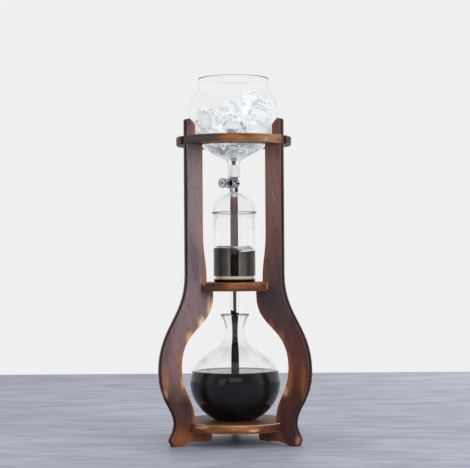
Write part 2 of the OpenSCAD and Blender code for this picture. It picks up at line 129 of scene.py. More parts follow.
wall_grey = 0.865
wall_colour = (wall_grey, wall_grey, wall_grey * 1.005, 1)
dark_room = (0.15, 0.15, 0.157, 1)
pale_room = (0.80, 0.81, 0.83, 1)
room_light = (0.96, 0.98, 1, 1)
world = bpy.data.worlds.new("studio")
scene.world = world
world.use_nodes = True
sky = world.node_tree
sky.nodes.clear()
sky_out = sky.nodes.new("ShaderNodeOutputWorld")
# The walls are bright behind the tower and beside it. Behind the camera the room is dark in reflections, but pale
# where glass and ice bend the view round to it.
ray = add(sky, "ShaderNodeLightPath")
heading = add(sky, "ShaderNodeSeparateXYZ", {0: add(sky, "ShaderNodeTexCoord").outputs["Generated"]})
facing = add(sky, "ShaderNodeMapRange", {"Value": heading.outputs["Y"], "From Min": -0.75, "From Max": -0.35},
             interpolation_type="SMOOTHSTEP")
room_behind = add(sky, "ShaderNodeMixRGB", {0: ray.outputs["Is Transmission Ray"], 1: dark_room, 2: pale_room})
room = add(sky, "ShaderNodeMixRGB", {0: facing.outputs[0], 1: room_behind.outputs[0], 2: wall_colour})
backdrop = add(sky, "ShaderNodeBackground", {"Color": room.outputs[0], "Strength": 1})
ambient = add(sky, "ShaderNodeBackground", {"Color": room_light, "Strength": 0.55})
seen = add(sky, "ShaderNodeMath", {0: ray.outputs["Is Camera Ray"], 1: ray.outputs["Is Glossy Ray"]},
           operation="MAXIMUM")
seen = add(sky, "ShaderNodeMath", {0: seen.outputs[0], 1: ray.outputs["Is Transmission Ray"]}, operation="MAXIMUM")
sky_mix = add(sky, "ShaderNodeMixShader", {0: seen.outputs[0], 1: ambient.outputs[0], 2: backdrop.outputs[0]})
sky.links.new(sky_mix.outputs[0], sky_out.inputs["Surface"])


def hang(name, lamp, place, target):
    """Hangs a lamp so that it looks at a point on the tower and leaves no hard reflection in the glass."""
    holder = bpy.data.objects.new(name, lamp)
    holder.location = place
    holder.rotation_euler = (Vector(target) - Vector(place)).to_track_quat("-Z", "Y").to_euler()
    holder.visible_glossy = holder.visible_transmission = False
    scene.collection.objects.link(holder)


def softbox(name, place, target, width, height, watts, colour=(1, 1, 1)):
    """A rectangular studio lamp."""
    lamp = bpy.data.lights.new(name, "AREA")
    lamp.shape = "RECTANGLE"
    lamp.size, lamp.size_y, lamp.energy, lamp.color = width, height, watts, colour
    hang(name, lamp, place, target)


softbox("window_right", place=(1.5, -1.3, 1.0), target=(0, 0, 0.25), width=0.9, height=1.3, watts=26,
        colour=(1, 0.985, 0.96))
softbox("window_left", place=(-1.7, -0.8, 0.9), target=(0, 0, 0.25), width=0.6, height=1.2, watts=9,
        colour=(0.95, 0.98, 1))
softbox("ceiling", place=(0, 0.3, 2.2), target=(0, 0, 0.2), width=1.4, height=1.0, watts=14)
softbox("rim_right", place=(0.9, 1.3, 0.6), target=(0, 0, 0.3), width=0.3, height=1.2, watts=7,
        colour=(1, 0.95, 0.88))

# A snoot picks out the white stopper under the globe
snoot = bpy.data.lights.new("snoot", "SPOT")
snoot.energy, snoot.spot_size, snoot.spot_blend, snoot.shadow_soft_size = 40, math.radians(1.9), 0.5, 0.01
hang("snoot", snoot, place=(-0.25, -1.9, 0.36), target=(0, 0, 0.397))


def reflector(name, place, facing, width, height, light):
    """A card beside the set that only reflections show: white ones glow, black ones give chrome its dark outlines."""
    across = Vector((-facing[1], facing[0], 0)).normalized() * width / 2
    up = Vector((0, 0, height / 2))
    middle = Vector(place)
    corners = [middle - across - up, middle + across - up, middle + across + up, middle - across + up]
    card, tree, out = flat_sheet(name, corners)
    glow = add(tree, "ShaderNodeEmission", {"Color": (light, light, light, 1), "Strength": 1})
    tree.links.new(glow.outputs[0], out.inputs["Surface"])
    card.visible_camera = card.visible_diffuse = card.visible_transmission = card.visible_shadow = False


reflector("white_card", place=(-0.62, -1.0, 0.27), facing=(0.5, 0.85), width=0.34, height=0.5, light=1.3)
reflector("white_card_front", place=(0, -1.2, 0.45), facing=(0, 1), width=0.7, height=0.36, light=1.5)
reflector("black_card_left", place=(-0.30, 0.30, 0.372), facing=(1, 0), width=0.50, height=0.12, light=0.0)
reflector("black_card_right", place=(0.30, 0.19, 0.372), facing=(1, 0), width=0.62, height=0.12, light=0.0)


# ---------------------------------------------------------------- legs
# Three boards of fir, 12 mm thick, sawn to one curved outline and torched until the grain stands out. They are oiled,
# and the flame went lighter over the inner edges, where the wood still shows orange and gold. The gold and cream
# spots are partly painted highlight.

# Points of the outline: height over the floor and distance from the tower's axis, in millimetres
leg_line_outer = [(0, 104), (20, 99.8), (32, 97.7), (58, 108), (80, 118), (105, 121.3), (128, 119.4), (150, 113.3),
                  (172, 100.6), (194, 88.7), (219, 80.7), (241, 78.4), (462, 78.4)]
leg_line_inner = [(0, 90), (20, 72), (36, 69.5), (57, 72.5), (75, 81.9), (98, 87.9), (115, 89.9), (138, 84.2),
                  (155, 76.3), (171, 58.2), (182, 47.7), (199, 40.4), (217, 38.8), (219, 49), (262, 51.8),
                  (300, 54.5), (425, 54.5), (428, 66), (462, 66)]
leg_height = 470
leg_reach = 130


def number(tree, operation, a, b=0.0, c=0.0):
    """One step of arithmetic between node outputs or numbers."""
    return add(tree, "ShaderNodeMath", {0: a, 1: b, 2: c}, operation=operation).outputs[0]


def times(tree, a, b):
    """One value scaled by another."""
    return number(tree, "MULTIPLY", a, b)


def smooth_step(tree, value, low, high, start=0.0, end=1.0):
    """start below low, end above high, and an even ramp between them."""
    made = add(tree, "ShaderNodeMapRange", {"Value": value, "From Min": low, "From Max": high,
                                            "To Min": start, "To Max": end}, interpolation_type="SMOOTHSTEP")
    return made.outputs[0]


def tint(tree, share, below, above, blend="MIX"):
    """Mixes two colours, the second laid over the first by share."""
    return add(tree, "ShaderNodeMixRGB", {0: share, 1: below, 2: above}, blend_type=blend).outputs[0]


def scaled(tree, vector, by, operation="MULTIPLY"):
    """A vector scaled by another, or shifted."""
    return add(tree, "ShaderNodeVectorMath", {0: vector, 1: by}, operation=operation).outputs[0]


def cloud(tree, vector, scale, detail, roughness=0.5):
    """Soft noise from 0 to 1."""
    made = add(tree, "ShaderNodeTexNoise", {"Vector": vector, "Scale": scale, "Detail": detail,
                                            "Roughness": roughness})
    return made.outputs["Fac"]


def spot(tree, place, centre, reach):
    """1 at centre, falling smoothly to 0 at reach away from it along each axis."""
    away = scaled(tree, place, centre, "SUBTRACT")
    away = scaled(tree, away, [1 / r for r in reach])
    length = add(tree, "ShaderNodeVectorMath", {0: away}, operation="LENGTH").outputs["Value"]
    return smooth_step(tree, length, 0.15, 1, 1, 0)


def line_over_height(tree, height, points):
    """A float curve through (height, distance) points in millimetres."""
    share = number(tree, "DIVIDE", height, leg_height)
    made = add(tree, "ShaderNodeFloatCurve", {"Value": share})
    curve = made.mapping.curves[0]
    for z, reach in points[1:-1]:
        curve.points.new(z / leg_height, reach / leg_reach)
    curve.points[0].location = (points[0][0] / leg_height, points[0][1] / leg_reach)
    curve.points[-1].location = (points[-1][0] / leg_height, points[-1][1] / leg_reach)
    made.mapping.update()
    return times(tree, made.outputs[0], leg_reach)


mm_per_m = (1000, 1000, 1000)


def board_space(tree, turn):
    """Place on a board in millimetres, turned so that X runs outwards from the tower's axis."""
    place = add(tree, "ShaderNodeTexCoord").outputs["Object"]
    return add(tree, "ShaderNodeMapping", {"Vector": place, "Rotation": (0, 0, -turn), "Scale": mm_per_m}).outputs[0]


def fir_grain(tree, place, along):
    """Fibre noise and late-wood lines, drawn out along the grain. Returns both, from 0 to 1."""
    drawn = scaled(tree, place, along)
    drift = scaled(tree, place, (0.012, 0.012, 0.004))
    wander = add(tree, "ShaderNodeTexNoise", {"Vector": drift, "Scale": 1, "Detail": 1}).outputs["Color"]
    wander = scaled(tree, scaled(tree, wander, (0.5, 0.5, 0.5), "SUBTRACT"), (16, 16, 16))
    fibre = cloud(tree, drawn, 0.62, 5, 0.6)
    lines = add(tree, "ShaderNodeTexWave", {"Vector": scaled(tree, drawn, wander, "ADD"), "Scale": 0.17,
                                            "Distortion": 3.5, "Detail": 3, "Detail Scale": 0.5},
                wave_type="BANDS", bands_direction="DIAGONAL").outputs["Fac"]
    fading = smooth_step(tree, cloud(tree, scaled(tree, drawn, (0.10, 0.10, 0.10)), 1, 2), 0.36, 0.62, 0.25, 1)
    return fibre, times(tree, smooth_step(tree, lines, 0.5, 1), fading)


def bumps(tree, strength, depth, height):
    """Relief in a surface, its depth in millimetres."""
    return add(tree, "ShaderNodeBump", {"Strength": strength, "Distance": depth * MM, "Height": height}).outputs[0]


def oiled(tree, out, colour, fibre, lines, sheen=0.22):
    """The scorched surface: late wood stands proud, and the oil leaves a soft sheen except on bare char."""
    relief = number(tree, "MULTIPLY_ADD", lines, 0.5, times(tree, fibre, 0.7))
    surfaced(tree, out, {"Base Color": colour, "Roughness": number(tree, "MULTIPLY_ADD", fibre, 0.2, 0.4),
                         "Normal": bumps(tree, 0.45, 0.3, relief), "Specular IOR Level": sheen,
                         "Coat Weight": 0.05, "Coat Roughness": 0.4})


def tones_and_light_over_height(tree, height, tones_and_light):
    """The ground colour of a leg with its painted sheen and shade, through (height, colour) pairs from the floor up.
    """
    ramp = add(tree, "ShaderNodeValToRGB", {"Fac": number(tree, "DIVIDE", height, leg_height)})
    stops = ramp.color_ramp.elements
    for height_mm, _ in tones_and_light[1:-1]:
        stops.new(height_mm / leg_height)
    stops[0].position, stops[-1].position = tones_and_light[0][0] / leg_height, tones_and_light[-1][0] / leg_height
    for stop, (_, shade) in zip(stops, tones_and_light):
        stop.color = (*shade, 1)
    return ramp.outputs["Color"]


smoke_tint = (0.62, 0.58, 0.60, 1)
pale_tint = (1.55, 1.40, 1.32, 1)
soot_tint = (0.40, 0.34, 0.32, 1)
ember_tint = (1.75, 1.35, 1.20, 1)
burnt_line = (0.016, 0.009, 0.008, 1)
charred_edge = (0.016, 0.010, 0.009, 1)
# The pale arris colour is partly wear and partly painted highlight
rubbed_arris_and_highlight = (0.62, 0.33, 0.15, 1)
lifted_oil = (0.62, 0.36, 0.25, 1)


def leg_finish(name, angle, tones_and_light, glow, spots, pale_lines=None):
    """Wood for one leg: orange inner margin, a smoked middle and a charred outer edge, with painted sheen, shade and
    highlights.
    """
    made, tree, out = new_finish(name)
    turn = math.radians(angle)
    place = board_space(tree, turn)
    axes = add(tree, "ShaderNodeSeparateXYZ", {0: place})
    reach, height = axes.outputs["X"], axes.outputs["Z"]
    outer = line_over_height(tree, height, leg_line_outer)
    inner = line_over_height(tree, height, leg_line_inner)
    from_inner = number(tree, "SUBTRACT", reach, inner)
    from_outer = number(tree, "SUBTRACT", outer, reach)
    fibre, lines = fir_grain(tree, place, (1, 1, 0.05))
    smoke = cloud(tree, scaled(tree, place, (0.03, 0.03, 0.01)), 1, 3)
    blotch = cloud(tree, scaled(tree, place, (0.06, 0.06, 0.02)), 1, 3)

    # The ground tones carry each leg's painted sheen and shade
    middle = tones_and_light_over_height(tree, height, tones_and_light)
    smoked = tint(tree, 1.0, middle, smoke_tint, "MULTIPLY")
    pale = tint(tree, 1.0, middle, pale_tint, "MULTIPLY")
    colour = tint(tree, smooth_step(tree, smoke, 0.42, 0.72), middle, smoked)
    colour = tint(tree, times(tree, smooth_step(tree, fibre, 0.48, 0.72), 0.55), colour, pale)
    # The inner margin stayed orange
    margin = smooth_step(tree, number(tree, "MULTIPLY_ADD", blotch, 10, from_inner), 4, 13, 1, 0)
    colour = tint(tree, times(tree, margin, 0.75), colour, glow)
    for centre, size, shade, strength in spots:
        here = times(tree, spot(tree, place, centre, size), strength)
        here = times(tree, here, smooth_step(tree, blotch, 0.2, 0.62, 0.5, 1))
        here = times(tree, here, smooth_step(tree, fibre, 0.3, 0.6, 0.75, 1))
        colour = tint(tree, here, colour, shade)
    # The flame left small dark and red specks
    speck = cloud(tree, scaled(tree, place, (0.30, 0.30, 0.12)), 1, 4, 0.65)
    colour = tint(tree, smooth_step(tree, speck, 0.54, 0.70, 0, 0.45), colour,
                  tint(tree, 1.0, colour, soot_tint, "MULTIPLY"))
    colour = tint(tree, smooth_step(tree, speck, 0.46, 0.32, 0, 0.45), colour,
                  tint(tree, 1.0, colour, ember_tint, "MULTIPLY"))
    # Late-wood lines are burnt darker
    colour = tint(tree, times(tree, lines, 0.18), colour, burnt_line)
    # Charred outer edge, sanded back beside its arrises
    normal = add(tree, "ShaderNodeNewGeometry").outputs["Normal"]
    turned = add(tree, "ShaderNodeVectorRotate", {"Vector": normal, "Axis": (0, 0, 1), "Angle": -turn},
                 rotation_type="AXIS_ANGLE")
    facing_out = add(tree, "ShaderNodeSeparateXYZ", {0: turned.outputs[0]})
    flank = number(tree, "ABSOLUTE", facing_out.outputs["Y"])
    edge_face = smooth_step(tree, flank, 0.15, 0.6, 1, 0)
    outwards = times(tree, edge_face, smooth_step(tree, from_outer, 3, 9, 1, 0))
    from_middle = number(tree, "ABSOLUTE", axes.outputs["Y"])
    outwards = times(tree, outwards, smooth_step(tree, from_middle, 1.6, 4.2, 1, 0.25))
    colour = tint(tree, times(tree, outwards, 0.96), colour, charred_edge)
    # The arrises are rubbed pale, and the pale line is partly painted highlight
    arris = times(tree, smooth_step(tree, flank, 0.25, 0.6), smooth_step(tree, flank, 0.75, 0.97, 1, 0))
    worn_and_highlit = times(tree, arris, smooth_step(tree, from_inner, 2, 6, 1, 0.15))
    colour = tint(tree, times(tree, worn_and_highlit, 0.85), colour, rubbed_arris_and_highlight)
    # Thin pale lines wander over the board where the flame lifted the oil
    if pale_lines:
        centre, size = pale_lines
        wander = cloud(tree, scaled(tree, place, (0.11, 0.11, 0.028)), 1, 1)
        off_line = number(tree, "ABSOLUTE", number(tree, "SUBTRACT", wander, 0.5))
        here = times(tree, smooth_step(tree, off_line, 0.004, 0.02, 1, 0), spot(tree, place, centre, size))
        colour = tint(tree, times(tree, here, 0.75), colour, lifted_oil)
    oiled(tree, out, colour, fibre, lines, sheen=number(tree, "MULTIPLY_ADD", outwards, -0.2, 0.22))
    return made


arris_angle = math.radians(28)


def eased(name, width, segments=3):
    """Rounds the sharp edges of a CAD piece by a small radius."""
    soft = node[name].modifiers.new("eased_edges", "BEVEL")
    soft.width = width * MM
    soft.segments = segments
    soft.limit_method = "ANGLE"
    soft.angle_limit = arris_angle
    soft.harden_normals = False


def dress(name, finish):
    """Gives a CAD piece its finish and smooth shading over its curves."""
    mesh = node[name].data
    mesh.materials.clear()
    mesh.materials.append(finish)
    mesh.shade_smooth()
    mesh.set_sharp_from_angle(angle=arris_angle)


char = (0.020, 0.011, 0.010, 1)
amber = (0.42, 0.165, 0.062, 1)
rust = (0.24, 0.075, 0.030, 1)
mauve = (0.22, 0.125, 0.112, 1)
# Gold and cream are partly scorched wood and partly painted highlight
gold_and_highlight = (0.90, 0.47, 0.21, 1)
cream_and_highlight = (0.96, 0.67, 0.43, 1)
# Each leg's angle round the axis, its tones from the floor up, the glow of its inner margin, the spots that the flame
# left (centre, reach, colour and strength), and where its pale lines run. The tones are partly painted light: the
# left leg's pale mauve-grey is painted sheen, and the right leg's darker tones and the back leg's near-black are
# painted shade. The gold and cream spots are partly painted highlight.
leg_looks = {
    "leg_left": (210, [
        (0, (0.165, 0.044, 0.026)), (24, (0.130, 0.040, 0.030)), (60, (0.082, 0.040, 0.036)),
        (92, (0.235, 0.142, 0.134)), (205, (0.245, 0.168, 0.175)), (283, (0.250, 0.200, 0.203)),
        (425, (0.262, 0.196, 0.205)), (455, (0.110, 0.070, 0.070))], amber, [
            ((86, 0, 92), (9, 12, 19), gold_and_highlight, 1.9), ((84, 0, 80), (12, 12, 12), amber, 1.3),
            ((115, 0, 94), (9, 12, 36), amber, 1.2), ((44, 0, 194), (9, 12, 32), cream_and_highlight, 1.7),
            ((57, 0, 172), (11, 12, 17), cream_and_highlight, 1.8), ((77, 0, 151), (10, 12, 17), gold_and_highlight, 1.7),
            ((90, 0, 122), (8, 12, 26), amber, 1.2), ((117, 0, 74), (7, 12, 12), gold_and_highlight, 1.1),
            ((44, 0, 14), (12, 12, 14), (0.62, 0.26, 0.12, 1), 0.9), ((92, 0, 12), (40, 12, 22), amber, 0.75),
            ((60, 0, 400), (10, 12, 42), amber, 0.7)]),
    "leg_right": (330, [
        (0, (0.069, 0.030, 0.030)), (30, (0.065, 0.026, 0.019)), (60, (0.088, 0.026, 0.014)),
        (110, (0.130, 0.038, 0.020)), (205, (0.077, 0.049, 0.054)), (283, (0.150, 0.090, 0.088)),
        (400, (0.272, 0.152, 0.134)), (455, (0.150, 0.085, 0.080))], rust, [
            ((54, 0, 12), (26, 12, 24), (0.050, 0.021, 0.016, 1), 1.0), ((84, 0, 78), (9, 12, 14), gold_and_highlight, 1.9),
            ((90, 0, 100), (11, 12, 46), amber, 1.3),
            ((79, 0, 147), (8, 12, 26), amber, 1.5), ((62, 0, 168), (7, 12, 14), amber, 1.1),
            ((113, 0, 92), (9, 12, 42), amber, 0.9), ((104, 0, 8), (7, 12, 11), gold_and_highlight, 1.0),
            ((66, 0, 300), (12, 12, 150), rust, 0.45), ((78, 0, 330), (9, 12, 150), (0.30, 0.105, 0.072, 1), 0.6),
            ((64, 0, 395), (9, 12, 50), (0.38, 0.15, 0.085, 1), 0.6)], ((68, 0, 375), (13, 12, 62))),
    # Near-black in the middle and at the top, partly painted shade behind the glass tower and under the ring
    "leg_back": (90, [
        (0, (0.060, 0.028, 0.022)), (60, (0.030, 0.018, 0.016)), (140, (0.012, 0.009, 0.009)),
        (225, (0.040, 0.018, 0.016)), (315, (0.066, 0.032, 0.030)), (335, (0.22, 0.115, 0.100)),
        (385, (0.24, 0.125, 0.110)), (430, (0.016, 0.012, 0.012))], char, [
            ((54, 0, 300), (14, 12, 40), mauve, 0.35), ((54, 0, 352), (14, 12, 26), mauve, 1.0),
            ((90, 0, 14), (40, 12, 22), rust, 0.9)]),
}
for name, (angle, *look) in leg_looks.items():
    dress(name, leg_finish(name + "_wood", angle, *look))
    eased(name, 0.9)


# ---------------------------------------------------------------- plates
# The top ring, the middle plate and the base plate are turned from the same fir. Their rims were torched unevenly,
# down to bare orange wood at the front. The ring is darker on the left and at both ends and tan on the right, partly
# torching and partly painted shade and light, and the golden arrises are partly painted highlight.
def darker(colour, share):
    """A colour at a share of its strength."""
    return [c * share for c in colour[:3]] + [1]


def plate_finish(name, ground, patches, arris_and_highlight_colour, rubbed_and_highlit_from):
    """Wood of a round plate, with its grain along X, and flame marks and painted shade on the rim."""
    made, tree, out = new_finish(name)
    place = board_space(tree, 0)
    fibre, lines = fir_grain(tree, place, (0.05, 1, 1))
    blotch = cloud(tree, scaled(tree, place, (0.03, 0.03, 0.12)), 1, 3)
    streak = smooth_step(tree, cloud(tree, scaled(tree, place, (0.035, 0.035, 0.42)), 1, 3), 0.44, 0.62)
    colour = tint(tree, smooth_step(tree, blotch, 0.42, 0.7), ground, darker(ground, 0.3))
    for centre, size, shade, strength in patches:
        here = times(tree, spot(tree, place, centre, size), strength)
        here = times(tree, here, smooth_step(tree, fibre, 0.25, 0.6, 0.45, 1))
        colour = tint(tree, here, colour, shade)
    pale = tint(tree, 1.0, colour, (1.5, 1.42, 1.3, 1), "MULTIPLY")
    colour = tint(tree, times(tree, smooth_step(tree, fibre, 0.48, 0.72), 0.6), colour, pale)
    colour = tint(tree, times(tree, lines, 0.3), colour, (0.03, 0.013, 0.009, 1))
    colour = tint(tree, times(tree, streak, 0.55), colour, (0.075, 0.028, 0.018, 1))
    up = add(tree, "ShaderNodeSeparateXYZ", {0: add(tree, "ShaderNodeNewGeometry").outputs["Normal"]}).outputs["Z"]
    flank = number(tree, "ABSOLUTE", up)
    arris = times(tree, smooth_step(tree, flank, 0.2, 0.5), smooth_step(tree, flank, 0.8, 0.97, 1, 0))
    worn_and_highlit = times(tree, arris, smooth_step(tree, blotch, 0.3, 0.6, 1, 0.25))
    # Only to the right of the given start are the arrises rubbed bare and partly painted as highlight, on the lit
    # side
    across = add(tree, "ShaderNodeSeparateXYZ", {0: place}).outputs["X"]
    worn_and_highlit = times(tree, worn_and_highlit, smooth_step(tree, across, rubbed_and_highlit_from, rubbed_and_highlit_from + 50, 0.08, 1))
    colour = tint(tree, times(tree, worn_and_highlit, 0.85), colour, arris_and_highlight_colour)
    oiled(tree, out, colour, fibre, lines)
    return made


soot_and_shade = (0.036, 0.029, 0.030, 1)
ash_and_shade = (0.055, 0.044, 0.044, 1)
bright_orange = (0.62, 0.27, 0.085, 1)
orange_wood = (0.42, 0.16, 0.045, 1)
tan_wood_and_light = (0.56, 0.33, 0.17, 1)
red_wood = (0.17, 0.055, 0.026, 1)
# The front of the ring's rim, and the middle heights of the plates, in millimetres
front = -82
ring_level = (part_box("top_ring")[0].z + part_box("top_ring")[1].z) / 2 / MM
mid_level = (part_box("mid_plate")[0].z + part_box("mid_plate")[1].z) / 2 / MM
base_level = (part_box("base_plate")[0].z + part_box("base_plate")[1].z) / 2 / MM
# Each plate's ground colour, its flame marks and painted shade (centre, reach, colour and strength), and its worn and
# highlit arrises
plate_looks = {
    "top_ring": (red_wood, [
        # The ash and soot on the left and the char at the right end are partly painted shade, and the tan on the
        # right is partly painted light
        ((-66, front + 25, ring_level + 4), (52, 60, 16), ash_and_shade, 0.95),
        ((2, front, ring_level), (40, 30, 12), orange_wood, 1.0),
        ((46, front + 20, ring_level + 1), (34, 50, 12), tan_wood_and_light, 0.95),
        ((-80, front + 40, ring_level), (44, 70, 24), soot_and_shade, 0.8),
        ((-46, front + 10, ring_level + 3), (44, 50, 12), (0.085, 0.070, 0.072, 1), 0.9),
        ((10, front, ring_level + 6), (90, 50, 3), char, 0.75),
        ((84, front + 46, ring_level - 1), (18, 60, 14), char, 0.85)], tan_wood_and_light, -60),
    "mid_plate": (red_wood, [
        ((-46, -40, mid_level - 1), (30, 40, 12), char, 0.5),
        ((2, -58, mid_level + 3), (26, 26, 8), orange_wood, 1.0),
        ((22, -54, mid_level - 6), (60, 30, 5), char, 0.7),
        ((-47, -36, mid_level + 5), (12, 20, 5), gold_and_highlight, 0.6),
        ((49, -34, mid_level + 1), (6, 20, 8), cream_and_highlight, 0.8),
        ((30, -50, mid_level + 3), (16, 30, 8), amber, 0.6)], orange_wood, -90),
    "base_plate": (red_wood, [
        ((-34, -72, base_level + 2), (40, 24, 10), orange_wood, 0.95),
        ((8, -78, base_level + 2), (44, 24, 9), bright_orange, 0.95),
        ((-14, -80, base_level - 3), (30, 24, 4), char, 0.7),
        ((26, -76, base_level - 1), (12, 20, 4), gold_and_highlight, 0.9),
        ((-48, -62, base_level + 3), (16, 24, 5), gold_and_highlight, 0.8),
        ((0, 0, base_level + 7), (120, 120, 4), (0.060, 0.052, 0.054, 1), 0.95),
        ((58, -50, base_level), (26, 34, 12), char, 0.6)], gold_and_highlight, -200),
}
for name, look in plate_looks.items():
    dress(name, plate_finish(name + "_wood", *look))
    eased(name, 0.35, 2)


# ---------------------------------------------------------------- dowels
# Plain beech dowels, turned to size and glued across the joints between plates and legs. They are hidden in the
# assembled tower.
def beech_finish():
    """Pale turned beech with short flecks."""
    made, tree, out = new_finish("beech")
    place = board_space(tree, 0)
    fleck = cloud(tree, scaled(tree, place, (1.6, 1.6, 0.3)), 1, 3)
    colour = tint(tree, smooth_step(tree, fleck, 0.35, 0.7), (0.62, 0.42, 0.25, 1), (0.45, 0.28, 0.15, 1))
    surfaced(tree, out, {"Base Color": colour, "Roughness": 0.6})
    return made


beech = beech_finish()
for name in ("ring_dowels", "mid_dowels", "base_dowels"):
    dress(name, beech)


# ---------------------------------------------------------------- ice globe
# A blown borosilicate globe with a wide short neck, its stem drawn from the same glass. It sits in the hole of the
# top ring, which holds it below its widest circle.
def bend(a, a_handle, b_handle, b, steps):
    """A smooth curve between two points of a profile, with a handle on each."""
    points = []
    for i in range(steps + 1):
        t = i / steps
        u = 1 - t
        points.append(tuple(u**3 * a[k] + 3 * u * u * t * a_handle[k] + 3 * u * t * t * b_handle[k] + t**3 * b[k]
                            for k in (0, 1)))
    return points


def on_oval(middle, across, up, angle):
    """The point at an angle in degrees on an ellipse, which lies about a point on the axis."""
    a = math.radians(angle)
    return across * math.cos(a), middle + up * math.sin(a)


def oval(middle, across, up, start, end, steps):
    """A stretch of such an ellipse, between two angles."""
    return [on_oval(middle, across, up, start + (end - start) * i / steps) for i in range(steps + 1)]


polish_steps = 5


def thick(path, wall):
    """Closes a profile to one wall thickness, with a fire-polished end."""
    inner = []
    for i, point in enumerate(path):
        before, after = path[max(i - 1, 0)], path[min(i + 1, len(path) - 1)]
        run = Vector((after[0] - before[0], after[1] - before[1])).normalized()
        inner.append((max(0.0, point[0] - run.y * wall), point[1] + run.x * wall))
    across = Vector(path[-1]) - Vector(inner[-1])
    middle = (Vector(path[-1]) + Vector(inner[-1])) / 2
    along = Vector((-across.y, across.x)) / 2
    polish = []
    for step in range(1, polish_steps + 1):
        a = math.radians(180 / (polish_steps + 1) * step)
        polish.append(tuple(middle + across / 2 * math.cos(a) + along * math.sin(a)))
    return path + polish + inner[::-1]


lathe_sides = 128
on_axis = 0.02
glass_crease = math.radians(40)


def lathe(name, profile, body, finish):
    """Turns a closed profile in millimetres round the tower's axis."""
    form = bmesh.new()
    rings = []
    for r, z in profile:
        if r < on_axis:
            rings.append([form.verts.new((0, 0, z * MM))])
        else:
            turn = [2 * math.pi * i / lathe_sides for i in range(lathe_sides)]
            rings.append([form.verts.new((r * MM * math.cos(a), r * MM * math.sin(a), z * MM)) for a in turn])
    for low, high in zip(rings, rings[1:] + rings[:1]):
        if len(low) == len(high) == 1:
            continue
        for i in range(lathe_sides):
            j = (i + 1) % lathe_sides
            if len(low) == 1:
                form.faces.new((low[0], high[j], high[i]))
            elif len(high) == 1:
                form.faces.new((low[i], low[j], high[0]))
            else:
                form.faces.new((low[i], low[j], high[j], high[i]))
    bmesh.ops.recalc_face_normals(form, faces=form.faces)
    mesh = bpy.data.meshes.new(name)
    form.to_mesh(mesh)
    form.free()
    mesh.materials.append(finish)
    mesh.shade_smooth()
    mesh.set_sharp_from_angle(angle=glass_crease)
    piece = bpy.data.objects.new(name, mesh)
    scene.collection.objects.link(piece)
    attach(piece, body)
    return piece


def lit_through(tree, out, body, shade):
    """Lets lamp light pass a clear body, tinted by its shade, to what stands behind it."""
    open_way = add(tree, "ShaderNodeBsdfTransparent", {"Color": shade})
    ray = add(tree, "ShaderNodeLightPath")
    both = add(tree, "ShaderNodeMixShader", {0: ray.outputs["Is Shadow Ray"], 1: body.outputs[0],
                                             2: open_way.outputs[0]})
    tree.links.new(both.outputs[0], out.inputs["Surface"])


def glass_finish(name, colour, index=1.33, rough=0.0):
    """Clear glass, fire-polished inside and out."""
    made, tree, out = new_finish(name)
    body = add(tree, "ShaderNodeBsdfPrincipled", {"Base Color": colour, "Roughness": rough, "IOR": index,
                                                  "Transmission Weight": 1.0})
    lit_through(tree, out, body, (0.93, 0.95, 0.95, 1))
    return made


globe_low_box, globe_high_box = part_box("globe")
lip_round = 0.7
globe_rim = globe_high_box.z / MM - lip_round
stem_end = globe_low_box.z / MM
globe_r = globe_high_box.x / MM
globe_wall = 2.2
stem_r = 8.5
stem_length = 23
globe_low = 67
globe_high = 54
neck_r = 49.5
shoulder_out = 6.5
bowl_bottom = stem_end + stem_length
globe_middle = bowl_bottom + globe_low
low_angle = -72
high_angle = math.degrees(math.acos((neck_r + shoulder_out) / globe_r))
bowl_start = on_oval(globe_middle, globe_r, globe_low, low_angle)
shoulder = on_oval(globe_middle, globe_r, globe_high, high_angle)
globe_path = (
    [(stem_r, stem_end), (stem_r, stem_end + 0.3), (stem_r, stem_end + 8)]
    + bend((stem_r, bowl_bottom - 6), (stem_r, bowl_bottom - 0.5), (bowl_start[0] - 5.7, bowl_start[1] - 1.9),
           bowl_start, 10)
    + oval(globe_middle, globe_r, globe_low, low_angle + 3, 0, 40)
    + oval(globe_middle, globe_r, globe_high, high_angle / 9, high_angle, 9)
    + bend(shoulder, (shoulder[0] - 2.6, shoulder[1] + 3.7), (neck_r, globe_rim - 15),
           (neck_r, globe_rim - 11), 10)[1:]
    + bend((neck_r, globe_rim - 6), (neck_r, globe_rim - 3), (neck_r + 0.3, globe_rim - 1.5),
           (neck_r + 1, globe_rim - globe_wall / 2), 8)
)
clear_glass = glass_finish("borosilicate", (0.998, 1, 1, 1))
globe = lathe("globe_glass", thick(globe_path, globe_wall), "ice_globe", clear_glass)
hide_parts("globe")


# ---------------------------------------------------------------- ice
# Forty-four tray cubes, half melted together. They lie in the globe where they slid to a stop, and their corners are
# washed round. Three of them lie on top of the heap.
def bowl_inside(z):
    """Inner radius of the globe at a height, in millimetres."""
    up = z - globe_middle
    half = globe_low if up < 0 else globe_high
    share = max(0.0, 1 - (up / half) ** 2)
    return max(globe_r * math.sqrt(share) - globe_wall * 1.15, 4)


def settle_cubes(count, size, seed, rounds=260, fall=0.7, spread=30):
    """Drops soft balls of a cube's size into the bowl and lets them push each other apart."""
    draw = random.Random(seed)
    places = [Vector((draw.uniform(-spread, spread), draw.uniform(-spread, spread), globe_middle - 25 + 1.2 * i))
              for i in range(count)]
    middle = Vector((0, 0, globe_middle))
    for _ in range(rounds):
        for place in places:
            place.z -= fall
        for i in range(count):
            for j in range(i + 1, count):
                apart = places[i] - places[j]
                gap = apart.length
                if 0 < gap < size:
                    push = apart * ((size - gap) / gap / 2)
                    places[i] += push
                    places[j] -= push
        for place in places:
            out = place - middle
            limit = (globe_low if out.z < 0 else globe_r) - globe_wall - size * 0.5
            squash = Vector((out.x / globe_r * globe_low, out.y / globe_r * globe_low, out.z))
            if squash.length > limit:
                place -= out * (1 - limit / squash.length)
    return places


